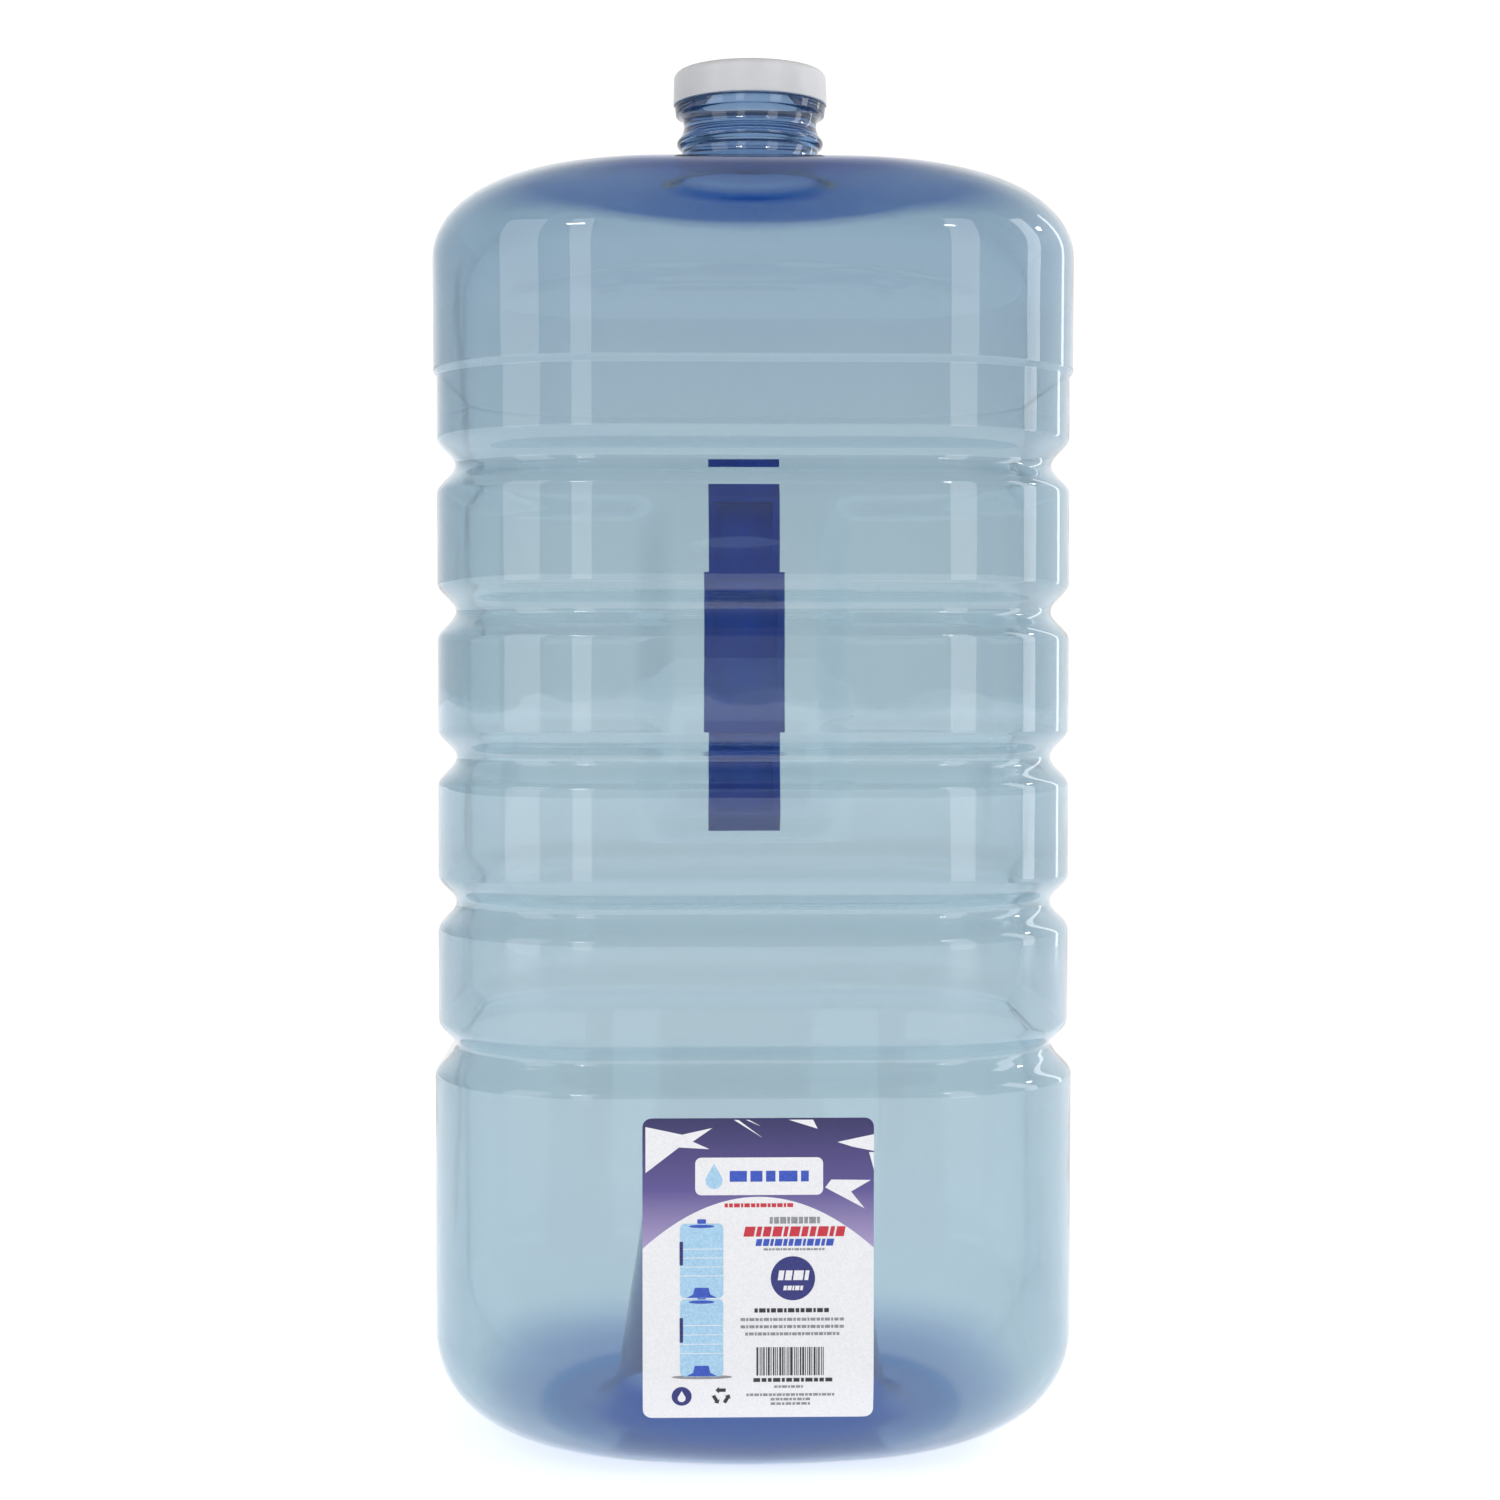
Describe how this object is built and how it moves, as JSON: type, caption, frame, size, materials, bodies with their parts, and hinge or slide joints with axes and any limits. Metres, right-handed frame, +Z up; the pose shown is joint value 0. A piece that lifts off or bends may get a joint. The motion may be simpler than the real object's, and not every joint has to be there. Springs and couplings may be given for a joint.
{
  "type": "large water jug",
  "caption": "Clear blue stackable water jug with a grooved rounded-square body, a screw cap on a round neck, a recess under the base and a handle bar across a pocket in the back.",
  "frame": {"origin": "middle of the base, on the ground", "axes": "+Z up along the neck's axis, -Y towards the labelled front, +Y towards the handle at the back"},
  "size_m": [0.222, 0.2222, 0.4904],
  "materials": {
    "clear_blue": "glossy, transparent, blue where thick",
    "dark_blue": "glossy, deep translucent blue",
    "white_cap": "satin, slightly translucent",
    "liner_foam": "matt foam",
    "label_film": "printed film"
  },
  "bodies": {
    "bottle": {"body_wall": "clear_blue", "shoulder": "clear_blue", "base": "clear_blue", "neck": "clear_blue", "handle": "dark_blue", "label": "label_film"},
    "liner": {"cap_liner": "liner_foam"},
    "screw_cap": {"cap": "white_cap"}
  },
  "joints": [
    {"name": "cap_lift", "type": "slide", "parent": "bottle", "child": "liner", "axis": [0, 0, 1], "range_m": [0, 0.00501]},
    {"name": "cap_turn", "type": "hinge", "parent": "liner", "child": "screw_cap", "pos_m": [0, 0, 0.4782], "axis": [0, 0, 1], "range_deg": [0, 450]}
  ],
  "couplings": [
    {"joint": "cap_lift", "follows": "cap_turn", "m_per_rad": 0.00063662}
  ]
}
